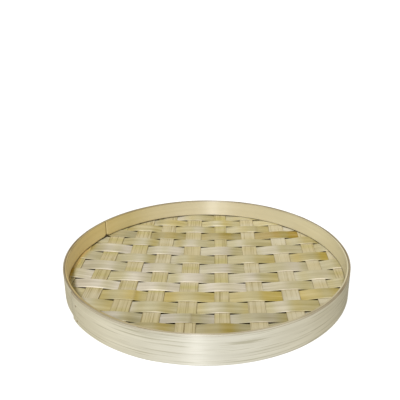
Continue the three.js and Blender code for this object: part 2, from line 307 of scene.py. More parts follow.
class Graph:
    """Adds linked nodes to a tree, so that a tree reads as a list of steps."""

    def __init__(self, tree):
        self.tree = tree

    def fill(self, node, inputs):
        """Links a node's inputs to values of the tree, or sets them to plain ones."""
        for key, value in inputs.items():
            if isinstance(value, Value):
                self.tree.links.new(value.socket, node.inputs[key])
            else:
                node.inputs[key].default_value = value

    def node(self, kind, inputs=None, **settings):
        made = self.tree.nodes.new(kind)
        for name, value in settings.items():
            setattr(made, name, value)
        self.fill(made, inputs or {})
        return made

    def out(self, kind, inputs=None, output=0, **settings):
        """A new node's output."""
        return Value(self, self.node(kind, inputs, **settings).outputs[output])

    def given(self):
        """The tree's own inputs, by name."""
        return {socket.name: Value(self, socket) for socket in self.node("NodeGroupInput").outputs}

    def group(self, tree, inputs):
        """The outputs of a shader group placed in this tree."""
        made = self.node("ShaderNodeGroup", inputs, node_tree=tree)
        return [Value(self, socket) for socket in made.outputs]

    def math(self, operation, *values):
        return self.out("ShaderNodeMath", dict(enumerate(values)), operation=operation)

    def vector(self, x, y, z=0.0):
        return self.out("ShaderNodeCombineXYZ", {0: x, 1: y, 2: z})

    def split(self, vector):
        made = self.node("ShaderNodeSeparateXYZ", {0: vector})
        return [Value(self, socket) for socket in made.outputs]

    def remap(self, value, low, high, to_low=0.0, to_high=1.0, smooth=False):
        inputs = {0: value, 1: low, 2: high, 3: to_low, 4: to_high}
        way = "SMOOTHSTEP" if smooth else "LINEAR"
        return self.out("ShaderNodeMapRange", inputs, interpolation_type=way, clamp=True)

    def noise(self, vector, detail=2.0, roughness=0.5, scale=1.0):
        inputs = {"Vector": vector, "Scale": scale, "Detail": detail, "Roughness": roughness}
        return self.out("ShaderNodeTexNoise", inputs, noise_dimensions="3D")

    def mix(self, factor, first, second, blend="MIX"):
        """Two colours mixed, for which the node has inputs and an output of their own."""
        made = self.node(
            "ShaderNodeMix", {0: factor}, data_type="RGBA", blend_type=blend, clamp_factor=True)
        colours = [i for i, socket in enumerate(made.inputs) if socket.type == "RGBA"]
        self.fill(made, dict(zip(colours, (first, second))))
        return next(Value(self, socket) for socket in made.outputs if socket.type == "RGBA")

    def store(self, geometry, name, value, kind="FLOAT", domain="POINT"):
        return self.out("GeometryNodeStoreNamedAttribute", {
            "Geometry": geometry, "Name": name, "Value": value}, data_type=kind, domain=domain)

    def stored(self, name):
        return self.out("GeometryNodeInputNamedAttribute", {"Name": name}, data_type="FLOAT")


def numbers(*names):
    return dict.fromkeys(names, "Float")


def shared_tree(name, kind, inputs, outputs, build):
    """A node group, made when first asked for. build adds its nodes and gives its outputs by name."""
    tree = bpy.data.node_groups.get(name)
    if tree:
        return tree
    tree = bpy.data.node_groups.new(name, kind)
    for in_out, sockets in (("INPUT", inputs), ("OUTPUT", outputs)):
        for socket, socket_kind in sockets.items():
            tree.interface.new_socket(
                name=socket, in_out=in_out, socket_type="NodeSocket" + socket_kind)
    g = Graph(tree)
    g.node("NodeGroupOutput", build(g, g.given()))
    return tree


def opaque(colour):
    return (*colour, 1.0)


# Shader groups that several finishes share

# Fibres
STREAKS_ALONG, STREAKS_ACROSS = 0.4, 0.35  # waves of a streak for one of a line
LINE_FADE = 0.12  # how far past its threshold the noise makes a full line
FIBRE_HEIGHT, LINE_HEIGHT = 0.6, -0.4  # shares of a finish's bump
STREAK_LANE, BLOTCH_LANE = 7, 3  # lanes of the noise

# Weathering, with blotches in waves to the metre
BLOTCHES_ALONG, BLOTCHES_ACROSS = 24, 60
STREAK_SHARE, BLOTCH_SHARE = 0.65, 0.35
PALING = 0.6  # loss of saturation for a gain of 1 in brightness
STAIN_BLOTCH = (0.3, 0.7)  # noise between which a stain grows from weak to full
STAIN_STRENGTH = (0.55, 1.0)


def fibre_nodes(g, given):
    """Noise drawn out along the fibres."""
    along, across, _ = g.split(given["Fibre Map"])
    along = along / given["Line Length"]
    across = across / given["Line Pitch"]

    # Lines run for their length, fade, and start again beside themselves
    fine = g.noise(g.vector(along, across), detail=2, roughness=0.6)
    threshold = 1 - given["Line Share"]
    lines = g.remap(fine, threshold, threshold + LINE_FADE, smooth=True)

    # Streaks are longer and broader
    wide = g.vector(along * STREAKS_ALONG, across * STREAKS_ACROSS, STREAK_LANE)
    streaks = g.noise(wide, detail=3, roughness=0.55)
    height = fine * FIBRE_HEIGHT + lines * LINE_HEIGHT
    return {"Lines": lines, "Streaks": streaks, "Height": height}


def fibre_group():
    """Lengthwise fibres: thin dark lines, soft streaks and the fibres' height."""
    inputs = {"Fibre Map": "Vector", **numbers("Line Pitch", "Line Length", "Line Share")}
    outputs = numbers("Lines", "Streaks", "Height")
    return shared_tree("Bamboo Fibres", "ShaderNodeTree", inputs, outputs, fibre_nodes)


def weather_nodes(g, given):
    """Streaks and blotches change how bright and how strong the colour is, and the stain lies over it."""
    along, across, _ = g.split(given["Fibre Map"])
    blotch = g.noise(g.vector(along * BLOTCHES_ALONG, across * BLOTCHES_ACROSS, BLOTCH_LANE), detail=2)
    shade = given["Streaks"] * STREAK_SHARE + blotch * BLOTCH_SHARE
    swing = (shade - 0.5) * given["Streak Depth"]
    tinted = g.out("ShaderNodeHueSaturation", {
        "Saturation": 1 - swing * PALING, "Value": swing + 1, "Color": given["Colour"]})
    stained = given["Stain Mask"] * g.remap(blotch, *STAIN_BLOTCH, *STAIN_STRENGTH)
    return {"Colour": g.mix(stained, tinted, given["Stain"])}


def weather_group():
    """Uneven colour: streaks and soft blotches, and a stain that follows a mask."""
    inputs = {
        "Colour": "Color", "Fibre Map": "Vector", "Stain": "Color",
        **numbers("Streaks", "Streak Depth", "Stain Mask")}
    return shared_tree(
        "Bamboo Weathering", "ShaderNodeTree", inputs, {"Colour": "Color"}, weather_nodes)


# Finishes

LINE_ROUGHNESS = 0.18  # how much rougher a dark fibre is
BUMP_STRENGTH = 0.6
ACROSS_FIBRES = 0.25  # of a turn: the shine spreads across the fibres
WALL_STOPS = (0.0, 0.3, 0.5, 0.72, 1.0)  # tones of the wall, from its right to its left. Their colours are partly the wall's own tone and partly painted light: a brighter left stands in for fill light, a duller back right for shade
RUST_SCALE = 1400
RUST_PATCHES = (0.42, 0.6)  # noise at which a patch of rust begins and is full
STEEL_TO_RUST_ROUGHNESS = (0.38, 0.85)
STEEL_TO_RUST_METAL = (0.95, 0.1)
FLOOR_ROUGHNESS = 0.9

Grain = namedtuple("Grain", "pitch length share pale_depth depth streaks bump")
Shine = namedtuple("Shine", "roughness gloss anisotropy")


def new_finish(name):
    """A material, the graph of its nodes and its shader."""
    material = bpy.data.materials.new(name)
    material.use_nodes = True
    tree = material.node_tree
    return material, Graph(tree), tree.nodes["Principled BSDF"]


def attribute(g, name):
    return g.out("ShaderNodeAttribute", output="Fac", attribute_name=name, attribute_type="GEOMETRY")


def tone_colour(g, stops):
    """The colour for a piece's tone, from stops of tone and colour, times its shade."""
    ramp = g.node("ShaderNodeValToRGB", {"Fac": attribute(g, "tone")})
    elements = ramp.color_ramp.elements
    while len(elements) < len(stops):
        elements.new(0.5)
    for element, (place, colour) in zip(elements, stops):
        element.position = place
        element.color = opaque(colour)
    return g.mix(1.0, Value(g, ramp.outputs[0]), attribute(g, "shade"), "MULTIPLY")


def bamboo_finish(name, settings, stops, grain, shine):
    """One bamboo finish. The pieces that have it carry their tone, shade and stain as attributes; on the
    hoops these also carry painted shade, and on the wefts a painted highlight.
    """
    material, g, shader = new_finish(name)
    fibre_map = g.out("ShaderNodeUVMap", uv_map=FIBRE_MAP)
    lines, streaks, height = g.group(fibre_group(), {
        "Fibre Map": fibre_map, "Line Pitch": grain.pitch, "Line Length": grain.length,
        "Line Share": grain.share})
    [weathered] = g.group(weather_group(), {
        "Colour": tone_colour(g, stops), "Fibre Map": fibre_map, "Streaks": streaks,
        "Streak Depth": grain.streaks, "Stain": opaque(settings.stain_colour),
        "Stain Mask": attribute(g, "stain")})
    line_depth = g.remap(attribute(g, "tone"), CREAM, WHEAT, grain.pale_depth, grain.depth)
    g.fill(shader, {
        "Base Color": g.mix(lines * line_depth, weathered, opaque(settings.line_colour)),
        "Roughness": lines * LINE_ROUGHNESS + shine.roughness,
        "Normal": g.out("ShaderNodeBump", {
            "Strength": BUMP_STRENGTH, "Distance": grain.bump, "Height": height}),
        "Tangent": g.out("ShaderNodeTangent", direction_type="UV_MAP", uv_map=FIBRE_MAP),
        "Specular IOR Level": shine.gloss,
        "Anisotropic": shine.anisotropy,
        "Anisotropic Rotation": ACROSS_FIBRES})
    return material


def weft_finish(weave):
    stops = (
        (CREAM, weave.cream), (STRAW, weave.straw), (TAN, weave.tan), (OLIVE, weave.olive),
        (HONEY, weave.honey))
    grain = Grain(
        pitch=2 * MM, length=50 * MM, share=0.43, pale_depth=0.34, depth=0.34, streaks=1.3, bump=0.06 * MM)
    shine = Shine(roughness=0.45, gloss=0.5, anisotropy=1.0)
    return bamboo_finish("weft bamboo", weave, stops, grain, shine)


def warp_finish(weave):
    stops = (
        (CREAM, weave.warp_pale), (WHEAT, weave.warp_tan), (OLIVE, weave.warp_olive),
        (HONEY, weave.warp_honey))
    grain = Grain(
        pitch=1.1 * MM, length=120 * MM, share=0.48, pale_depth=0.15, depth=0.6, streaks=0.5, bump=0.1 * MM)
    shine = Shine(roughness=0.7, gloss=0.4, anisotropy=0.8)
    return bamboo_finish("warp bamboo", weave, stops, grain, shine)


def hoop_finish(rim):
    stops = ((CREAM, rim.hoop_colour), (HONEY, rim.hoop_honey))
    grain = Grain(
        pitch=1.4 * MM, length=70 * MM, share=0.46, pale_depth=0.5, depth=0.5, streaks=0.6, bump=0.06 * MM)
    shine = Shine(roughness=0.46, gloss=1.0, anisotropy=1.0)
    return bamboo_finish("outer hoop bamboo", rim, stops, grain, shine)


def wall_finish(rim):
    colours = (rim.wall_pale, rim.wall_dull, rim.wall_colour, rim.wall_tan, rim.wall_honey)
    grain = Grain(
        pitch=1.8 * MM, length=110 * MM, share=0.38, pale_depth=0.14, depth=0.14, streaks=0.3,
        bump=0.05 * MM)
    shine = Shine(roughness=0.46, gloss=1.0, anisotropy=1.0)
    return bamboo_finish("inner wall bamboo", rim, tuple(zip(WALL_STOPS, colours)), grain, shine)


def brad_finish(settings):
    """Dull steel wire with rust in patches."""
    material, g, shader = new_finish("brad steel")
    place = g.out("ShaderNodeTexCoord", output="Object")
    rust = g.remap(g.noise(place, detail=4, scale=RUST_SCALE), *RUST_PATCHES, smooth=True)
    g.fill(shader, {
        "Base Color": g.mix(rust, opaque(settings.steel), opaque(settings.rust)),
        "Roughness": g.remap(rust, 0, 1, *STEEL_TO_RUST_ROUGHNESS),
        "Metallic": g.remap(rust, 0, 1, *STEEL_TO_RUST_METAL)})
    return material


def floor_finish(stage):
    """A matt pale floor that throws back less light than it shows, with painted shade under the tray, which
    shows through slits in the weave.
    """
    material, g, shader = new_finish("pale floor")
    seen = g.out("ShaderNodeLightPath", output="Is Camera Ray")
    place = g.out("ShaderNodeTexCoord", output="Object")
    from_middle = g.out("ShaderNodeVectorMath", {0: place}, output="Value", operation="LENGTH")
    outside = g.math("GREATER_THAN", from_middle, SEAT_RADIUS)
    open_floor = g.mix(seen, opaque(stage.floor_bounce), opaque(stage.floor_colour))
    g.fill(shader, {
        # Painted shade: the floor inside the rim's seat is dark, as if in the tray's shadow
        "Base Color": g.mix(outside, opaque(stage.floor_shade), open_floor),
        "Roughness": FLOOR_ROUGHNESS,
        "Specular IOR Level": 0.0})
    return material


# Helpers for pieces


def settle(piece, slot, *nodes):
    """The finished piece stands for its CAD nodes and takes their place on the tray."""
    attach(piece, "root")
    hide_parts(*nodes)


def link(piece):
    bpy.context.scene.collection.objects.link(piece)
    return piece


def line_mesh(name, points, closed=False):
    """A mesh of edges only, for a node tree to sweep along."""
    edges = [(i, i + 1) for i in range(len(points) - 1)]
    if closed:
        edges.append((len(points) - 1, 0))
    mesh = bpy.data.meshes.new(name)
    mesh.from_pydata(points, edges, [])
    return mesh


def grown(name, source, tree, values):
    """Runs a node tree on a source mesh and keeps the result as a plain mesh."""
    piece = bpy.data.objects.new(name, source)
    modifier = piece.modifiers.new(tree.name, "NODES")
    modifier.node_group = tree
    for item in tree.interface.items_tree:
        if item.in_out == "INPUT" and item.name in values:
            modifier[item.identifier] = values[item.name]
    link(piece)
    graph = bpy.context.evaluated_depsgraph_get()
    mesh = bpy.data.meshes.new_from_object(
        piece.evaluated_get(graph), preserve_all_data_layers=True, depsgraph=graph)
    piece.modifiers.clear()
    piece.data = mesh
    bpy.data.meshes.remove(source)
    mesh.name = name
    if not mesh.polygons:
        raise RuntimeError(f"{name} came out empty")
    return piece


def finished(g, given, piece):
    """The end of a piece's tree: smooth faces, no instances, and its finish."""
    piece = g.out("GeometryNodeSetShadeSmooth", {"Geometry": piece}, domain="FACE")
    piece = g.out("GeometryNodeRealizeInstances", {"Geometry": piece})
    return g.out("GeometryNodeSetMaterial", {"Geometry": piece, "Material": given["Finish"]})


# The woven base

# Marks on the strips. Shares of a strip's width count its half width as 1
SCAR_WIDTH = 1.3 * MM
SCAR_HEIGHT = 0.14 * MM
SCAR_STAIN = 0.3
SPLIT_PLACE = 0.1  # share of the width
SPLIT_SIDES = (0.03, 0.075)  # shares of the width at which the split is still deep and no longer there
SPLIT_CLOSES = 0.85  # share of its length from which it closes
PAINTED_HIGHLIGHT_EDGE = (-0.96, -0.84)  # shares of the width between which the painted highlight on a weft's front edge fades
RAISED = (0.5 * MM, 1 * MM)  # heights between which that edge's painted highlight grows
NEAR_DARK_EDGE, FAR_DARK_EDGE = -0.93, 0.95  # shares of the width past which a warp's edges are darker
FAR_DARK_EDGE_DEPTH = 0.6
PAINTED_WARM_SHADE_LEFT = (0.85, 0.93)  # shares of the weave's radius to the left between which painted warm shade sets in
PAINTED_WARM_SHADE_OUT = (0.87, 0.96)  # shares of its squared radius, likewise

# Noise on the strips, in waves to the metre. Each use has a lane of the noise to itself
EDGE_WAVES = 24
PATCH_WAVES = 40
FIBRE_WAVES_ALONG, FIBRE_WAVES_ACROSS = 16, 620
LOW_EDGE_LANE, HIGH_EDGE_LANE, DRIFT_LANE, PATCH_LANE = 1, 2, 5, 9
PATCH_RANGE = (0.3, 0.55)  # noise at which a patch of an edge begins and is full
FIBRE_LANES = 3.1  # lanes from one strip's fibres to the next
MAP_SHIFT = 0.7  # metres from one strip's fibre map to the next

Strip = namedtuple("Strip", "node low high turn")


def measured_strips(kind, axis, turn_of):
    """The CAD strips of a kind in order, with how far each is turned and its edges across the weave."""
    strips = []
    for i, node in enumerate(sorted(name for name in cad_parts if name.startswith(kind))):
        turn = turn_of(i)
        back = Matrix.Rotation(-turn, 3, "Z")
        places = [(back @ corner.co)[axis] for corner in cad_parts[node].data.vertices]
        strips.append(Strip(node, min(places), max(places), turn))
    return strips


def measured_warps(weave):
    return measured_strips("warp_strip", 0, lambda i: weave.turn + math.radians(WARP_TURNS[i]))


def measured_wefts(weave):
    middle = (len(WEFT_TONES) - 1) / 2
    return measured_strips("weft_strip", 1, lambda i: weave.turn + weave.fan * (i - middle))


def half_chord(offset):
    return math.sqrt(max(MAT_RADIUS ** 2 - offset ** 2, 0))


def strip_reach(strip, tip):
    """How far a strip runs to either side of the weave's middle line."""
    near = 0 if strip.low * strip.high < 0 else min(abs(strip.low), abs(strip.high))
    return half_chord(near + tip)


def crossing(warp, weft):
    """Where a warp crosses the middle of a weft, measured along the weft."""
    askew = warp.turn - weft.turn
    off_middle = (weft.low + weft.high) / 2 * math.sin(askew)
    return ((warp.low + warp.high) / 2 - off_middle) / math.cos(askew)


def weft_stops(warps, weft, row, weave):
    """Places along a weft, with how far it lies above or below the warps there."""
    lift = weave.thickness + weave.fit
    stops = []
    for i, warp in enumerate(warps):
        side = 1 if (i + row) % 2 == 0 else -1
        middle = crossing(warp, weft)
        half_width = (warp.high - warp.low) / 2
        stops += [
            (middle - half_width, side * lift),
            (middle, side * (lift + weave.crown)),
            (middle + half_width, side * lift),
        ]
    return stops


def rise_at(stops, along):
    """The height between two stops."""
    if along <= stops[0][0]:
        return stops[0][1]
    for (before, low), (after, high) in zip(stops, stops[1:]):
        if along <= after:
            return low + (high - low) * (along - before) / (after - before)
    return stops[-1][1]


def strip_section(weave, half_width):
    """The outline of a strip's section: its half width counts as 1, and its height is in metres."""
    round_off = weave.edge_round
    corner = round_off / half_width
    flat = 1 - corner
    top = weave.thickness / 2
    shoulder = top - round_off
    columns = [-flat + 2 * flat * i / weave.columns for i in range(weave.columns + 1)]

    def fillet(side, quarter):
        points = []
        for step in (0.25, 0.5, 0.75):
            angle = (quarter + step) * math.pi / 2
            height = math.copysign(shoulder, math.sin(angle)) + round_off * math.sin(angle)
            points.append((side * flat + corner * math.cos(angle), height))
        return points

    outline = [
        *[(share, -top) for share in columns], *fillet(1, -1), (1, -shoulder), (1, shoulder),
        *fillet(1, 0), *[(share, top) for share in reversed(columns)], *fillet(-1, 1), (-1, shoulder),
        (-1, -shoulder), *fillet(-1, 2)]
    return [(across, height, 0) for across, height in reversed(outline)]


def swept_strip(g, given):
    """A section swept along the guide. It keeps its place across as "share" and its height as "lip"."""
    section = g.out("GeometryNodeObjectInfo", {"Object": given["Section"]}, output="Geometry")
    section = g.out("GeometryNodeMeshToCurve", {"Mesh": section})
    share, lip, _ = g.split(g.out("GeometryNodeInputPosition"))
    section = g.store(section, "share", share)
    section = g.store(section, "lip", lip)
    guide = g.out("GeometryNodeMeshToCurve", {"Mesh": given["Guide"]})
    guide = g.out("GeometryNodeCurveSplineType", {"Curve": guide}, spline_type="CATMULL_ROM")
    guide = g.out("GeometryNodeResampleCurve", {"Curve": guide, "Length": given["Step"]}, mode="LENGTH")
    guide = g.out("GeometryNodeSetCurveNormal", {"Curve": guide}, mode="Z_UP")
    return g.out("GeometryNodeCurveToMesh", {
        "Curve": guide, "Profile Curve": section, "Fill Caps": True})


def strip_tone(g, given, along, across, outward):
    """The tone along a strip: from one end's to the other's, drifting, and turned to honey along the left
    wall as painted warm shade.
    """
    way_along = g.math("POWER", g.remap(along, given["Reach"] * -1, given["Reach"]), 2)
    tone = way_along * (given["End Tone"] - given["Start Tone"]) + given["Start Tone"]
    drift = g.noise(g.vector(along / given["Drift Length"], given["Seed"], DRIFT_LANE), detail=1)
    drifted = (drift - 0.5) * given["Drift"] + tone
    tone = g.math("MINIMUM", drifted, g.math("MAXIMUM", tone, OLIVE))
    # Painted warm shade: near the left wall the strips turn to honey, for the warm light bounced into the
    # wall's shade
    leftward = across * g.math("SINE", given["Turn"]) - along * g.math("COSINE", given["Turn"])
    on_left = g.remap(leftward / given["Mat Radius"], *PAINTED_WARM_SHADE_LEFT)
    browned = on_left * g.remap(outward, *PAINTED_WARM_SHADE_OUT)
    return (HONEY - tone) * browned + tone


def strip_nodes(g, given):
    """Moves each corner of a swept strip across and up, and keeps what its finish reads."""
    strip = swept_strip(g, given)
    along, _, rise = g.split(g.out("GeometryNodeInputPosition"))
    share = g.stored("share")
    lip = g.stored("lip")
    seed = given["Seed"]

    # Across: the strip's own edges, uneven, or the wall where that is nearer
    radius_squared = given["Mat Radius"] * given["Mat Radius"]
    along_squared = along * along
    wall = g.math("SQRT", g.math("MAXIMUM", radius_squared - along_squared, 0))

    def edge(limit, lane):
        swing = (g.noise(g.vector(along * EDGE_WAVES, seed, lane), detail=1) - 0.5) * 2
        return limit + swing * given["Wander"]

    low = g.math("MAXIMUM", edge(given["Low"], LOW_EDGE_LANE), wall * -1)
    high = g.math("MINIMUM", edge(given["High"], HIGH_EDGE_LANE), wall)
    across = (high - low) * 0.5 * share + (high + low) * 0.5

    # Height: the dish of the base, the strip's camber, its fibres, its ring scar and its split
    outward = (along_squared + across * across) / radius_squared
    dish = given["Mat Height"] - given["Sag"] * (1 - outward)
    bow = given["Camber"] * 0.5 - given["Camber"] * (share * share)
    fibre_path = g.vector(along * FIBRE_WAVES_ALONG, across * FIBRE_WAVES_ACROSS, seed * FIBRE_LANES)
    fibres = (g.noise(fibre_path, detail=1) - 0.5) * given["Relief"]
    off_scar = (along - given["Scar"]) / SCAR_WIDTH
    scar = g.math("POWER", 2, off_scar * off_scar * -1)
    from_end = along + given["Reach"]
    split_way = g.remap(from_end, given["Split Length"] * SPLIT_CLOSES, given["Split Length"], 1, 0)
    split_line = g.remap(g.math("ABSOLUTE", share - SPLIT_PLACE), *SPLIT_SIDES, 1, 0)
    on_top = g.math("LESS_THAN", lip, 0)  # a section is swept with its foot up
    split = split_way * split_line * (on_top * given["Split"])
    height = rise + dish + bow + fibres + scar * SCAR_HEIGHT - split * given["Split Depth"]

    # What the finish reads: a weft's raised front edge has a painted highlight, scars and splits are dark,
    # and so are a warp's edges
    shift = seed * MAP_SHIFT
    fibre_map = g.vector(along + shift, across + lip + shift)
    patches = g.remap(g.noise(g.vector(along * PATCH_WAVES, seed, PATCH_LANE)), *PATCH_RANGE)
    raised = g.remap(rise, *RAISED)
    # A painted highlight on a raised front edge: paler in tone and lighter in shade
    pale = g.remap(share, *PAINTED_HIGHLIGHT_EDGE, 1, 0) * (patches * raised) * given["Pale Edge"]
    far_dark_edge = g.math("GREATER_THAN", share, FAR_DARK_EDGE) * FAR_DARK_EDGE_DEPTH
    edge_darkening = (g.math("LESS_THAN", share, NEAR_DARK_EDGE) + far_dark_edge) * patches * given["Dark Edge"]
    stain = g.math("MAXIMUM", g.math("MAXIMUM", scar * SCAR_STAIN, split), edge_darkening)
    strip = g.store(strip, FIBRE_MAP, fibre_map, "FLOAT2", "CORNER")
    strip = g.store(strip, "tone", strip_tone(g, given, along, across, outward) - pale)
    strip = g.store(strip, "shade", given["Shade"] * (pale + 1))
    strip = g.store(strip, "stain", stain)

    strip = g.out("GeometryNodeSetPosition", {
        "Geometry": strip, "Position": g.vector(along, across, height)})
    strip = g.out("GeometryNodeTransform", {
        "Geometry": strip, "Rotation": g.vector(0, 0, given["Turn"])})
    return {"Strip": finished(g, given, strip)}


def strip_tree():
    """Sweeps a section along a guide line and fits it to the round, hanging base."""
    inputs = {
        "Guide": "Geometry", "Section": "Object", "Finish": "Material",
        **numbers(
            "Low", "High", "Step", "Mat Radius", "Mat Height", "Sag", "Camber", "Wander", "Relief",
            "Pale Edge", "Dark Edge", "Turn", "Seed", "Reach", "Start Tone", "End Tone", "Shade",
            "Drift", "Drift Length", "Scar", "Split", "Split Length", "Split Depth")}
    return shared_tree("Split Bamboo Strip", "GeometryNodeTree", inputs, {"Strip": "Geometry"}, strip_nodes)


def lay_strips(kind, strips, guides, tones, scars, slot, values, weave, split=None):
    """Makes every strip of a kind from its guide line."""
    half_width = sum(strip.high - strip.low for strip in strips) / len(strips) / 2
    outline = line_mesh(f"{kind}_section", strip_section(weave, half_width), closed=True)
    section = link(bpy.data.objects.new(f"{kind}_section", outline))
    for i, (strip, guide) in enumerate(zip(strips, guides)):
        name = f"{kind}_{i + 1:02d}"
        start_tone, end_tone, shade = tones[i]
        piece = grown(name, line_mesh(name, guide), strip_tree(), {
            **values,
            "Section": section, "Step": weave.step, "Mat Radius": MAT_RADIUS, "Mat Height": MAT_HEIGHT,
            "Sag": weave.sag, "Relief": weave.relief, "Split Length": weave.split_length,
            "Split Depth": weave.split_depth, "Low": strip.low, "High": strip.high, "Turn": strip.turn,
            "Reach": guide[-1][0], "Seed": float(i + 1), "Start Tone": start_tone, "End Tone": end_tone,
            "Shade": shade, "Scar": scars.get(i, NO_SCAR), "Split": float(i == split)})
        settle(piece, slot, strip.node)
    bpy.data.objects.remove(section)
    bpy.data.meshes.remove(outline)


# The rim

BAND_STEP = 2 * MM  # length of a face along a band
LARGEST_ROUND = 0.45  # of a band's thickness
TOP_WAVES, FOOT_WAVES = 21, 17  # unevenness of a band's edges, in waves to the metre
TOP_LANE, FOOT_LANE = 1, 2
RIDGE_WAVES_ROUND, RIDGE_WAVES_UP = 7, 420  # ridges on its faces, likewise
FACE_DEPTH = 0.1 * MM  # corners no deeper than this lie on a band's face
CREVICE_PAINTED_DIMMING, CREVICE_PAINTED_SHADOW = 0.3, 0.9  # painted shade on the outer hoop's inner face: dark in the crevice between the hoops and at the seam gap
DARKENED_TOP_EDGE = 0.45 * MM  # how far down a band's top edge is darkened, by wear and painted shade
TOP_EDGE_WEAR_AND_SHADE = 0.35  # darkening of the top edge of the palest bamboo, partly wear and partly painted shade
HOOP_RIPE_WEAR_AND_SHADE, WALL_RIPE_WEAR_AND_SHADE = 0.55, 0.45  # how much more the ripest has
FOOT_HEIGHT = 1 * MM  # how far up an inner hoop's foot has painted shade
FOOT_PAINTED_SHADE, LEFT_FOOT_PAINTED_SHADE = 0.2, 0.7  # painted shade at the foot all round, and how much more on the left

Station = namedtuple("Station", "distance angle inner outer bottom top")
# On the bands, shade and stain also carry painted shade: in the crevice, at the foot and along the top edge
Look = namedtuple("Look", "tone shade stain")
Band = namedtuple("Band", "name node slot rows seed look")


def outer_look(at, radius, height):
    """The outer hoop is palest at the front, darkened on its top edge by wear and painted shade, and dark
    on its inner face with painted shade.
    """
    tone = 1 - max(0, -math.sin(at.angle)) ** 4
    # Painted shade: the inner face lies in the crevice between the hoops
    if radius < at.inner + FACE_DEPTH:
        return Look(tone, CREVICE_PAINTED_DIMMING, CREVICE_PAINTED_SHADOW)
    # The top edge is darkened, partly as wear and partly as painted shade
    on_top = height > at.top - DARKENED_TOP_EDGE
    return Look(tone, 1, (TOP_EDGE_WEAR_AND_SHADE + HOOP_RIPE_WEAR_AND_SHADE * tone) * on_top)


def inner_look(at, radius, height):
    """An inner hoop is riper and brighter on the left, partly its own tone and partly painted fill light.
    Its top edge is darkened by wear and painted shade, and its foot has painted shade.
    """
    leftward = -math.cos(at.angle)
    # The tone follows the side: partly the bamboo's own tone, partly painted light
    tone = 0.5 + 0.5 * leftward * abs(leftward)
    # The top edge is darkened, partly as wear and partly as painted shade that keeps the lit top no
    # brighter than the wall
    if height > at.top - DARKENED_TOP_EDGE:
        return Look(tone, 1, TOP_EDGE_WEAR_AND_SHADE + WALL_RIPE_WEAR_AND_SHADE * tone)
    # Painted shade in the crevice where the wall's foot meets the weave, deepest on the left
    foot_shade = FOOT_PAINTED_SHADE + LEFT_FOOT_PAINTED_SHADE * min(max(2 * leftward, 0), 1)
    return Look(tone, 1, foot_shade * max(0, 1 - (height - at.bottom) / FOOT_HEIGHT))


OUTER_HOOP = Band("outer_band", "outer_hoop", "hoop_bamboo", rows=24, seed=1, look=outer_look)
UPPER_HOOP = Band("upper_wall", "upper_inner_hoop", "wall_bamboo", rows=16, seed=2, look=inner_look)
LOWER_HOOP = Band("lower_wall", "lower_inner_hoop", "wall_bamboo", rows=6, seed=3, look=inner_look)


def band_section(inner, outer, bottom, top, round_off, rows):
    """The outline of a band's section as radius and height, with rounded corners and rows up its faces."""
    steps = (0, 1 / 3, 2 / 3, 1)
    levels = [bottom + round_off + (top - bottom - 2 * round_off) * i / rows for i in range(1, rows)]

    def fillet(radius, height, quarter):
        angles = [(quarter + step) * math.pi / 2 for step in steps]
        return [(radius + round_off * math.cos(a), height + round_off * math.sin(a)) for a in angles]

    outline = fillet(outer - round_off, bottom + round_off, -1) + [(outer, z) for z in levels]
    outline += fillet(outer - round_off, top - round_off, 0) + fillet(inner + round_off, top - round_off, 1)
    outline += [(inner, z) for z in reversed(levels)] + fillet(inner + round_off, bottom + round_off, 2)
    return outline


def ways_round(outline):
    """Distances along an outline from its first point to each point, and back to the first."""
    ways = [0]
    for here, there in zip(outline, [*outline[1:], outline[0]]):
        ways.append(ways[-1] + math.dist(here, there))
    return ways


def band_mesh(band, stations, rim):
    """A bent band with rounded edges, a ridged face and the map that its fibres follow."""
    shape = bmesh.new()
    fibre_map = shape.loops.layers.uv.new(FIBRE_MAP)
    marks = [shape.verts.layers.float.new(name) for name in Look._fields]

    def add_face(corners, spots):
        face = shape.faces.new(corners)
        for loop, spot in zip(face.loops, spots):
            loop[fibre_map].uv = spot

    rings = []
    maps = []
    for at in stations:
        round_off = min(rim.edge_round, (at.outer - at.inner) * LARGEST_ROUND)
        dip = rim.edge_wander * abs(noise.noise(Vector((at.distance * TOP_WAVES, band.seed, TOP_LANE))))
        rise = rim.edge_wander * abs(noise.noise(Vector((at.distance * FOOT_WAVES, band.seed, FOOT_LANE))))
        outline = band_section(at.inner, at.outer, at.bottom + rise, at.top - dip, round_off, band.rows)
        ring = []
        for radius, height in outline:
            ridge_path = (at.distance * RIDGE_WAVES_ROUND, height * RIDGE_WAVES_UP, band.seed)
            ridge = rim.relief * abs(noise.noise(Vector(ridge_path)))
            out = radius - ridge if radius > (at.inner + at.outer) / 2 else radius + ridge
            corner = shape.verts.new((out * math.cos(at.angle), out * math.sin(at.angle), height))
            for mark, value in zip(marks, band.look(at, radius, height)):
                corner[mark] = value
            ring.append(corner)
        rings.append(ring)
        maps.append([(at.distance, way + band.seed) for way in ways_round(outline)])

    count = len(rings[0])
    for near, far, near_map, far_map in zip(rings, rings[1:], maps, maps[1:]):
        for i in range(count):
            j = (i + 1) % count
            add_face(
                (near[i], far[i], far[j], near[j]),
                (near_map[i], far_map[i], far_map[i + 1], near_map[i + 1]))
    add_face(rings[0], maps[0])
    add_face(rings[-1][::-1], maps[-1][:count][::-1])
    bmesh.ops.recalc_face_normals(shape, faces=shape.faces)
    for face in shape.faces:
        face.smooth = len(face.verts) == 4
    mesh = bpy.data.meshes.new(band.name)
    shape.to_mesh(mesh)
    shape.free()
    return mesh


def stepped(stops, longest):
    """Distances from the first stop to the last, with every stop kept and no step longer than given."""
    found = [stops[0]]
    for start, end in zip(stops, stops[1:]):
        steps = math.ceil((end - start) / longest)
        found += [start + (end - start) * k / steps for k in range(1, steps + 1)]
    return found


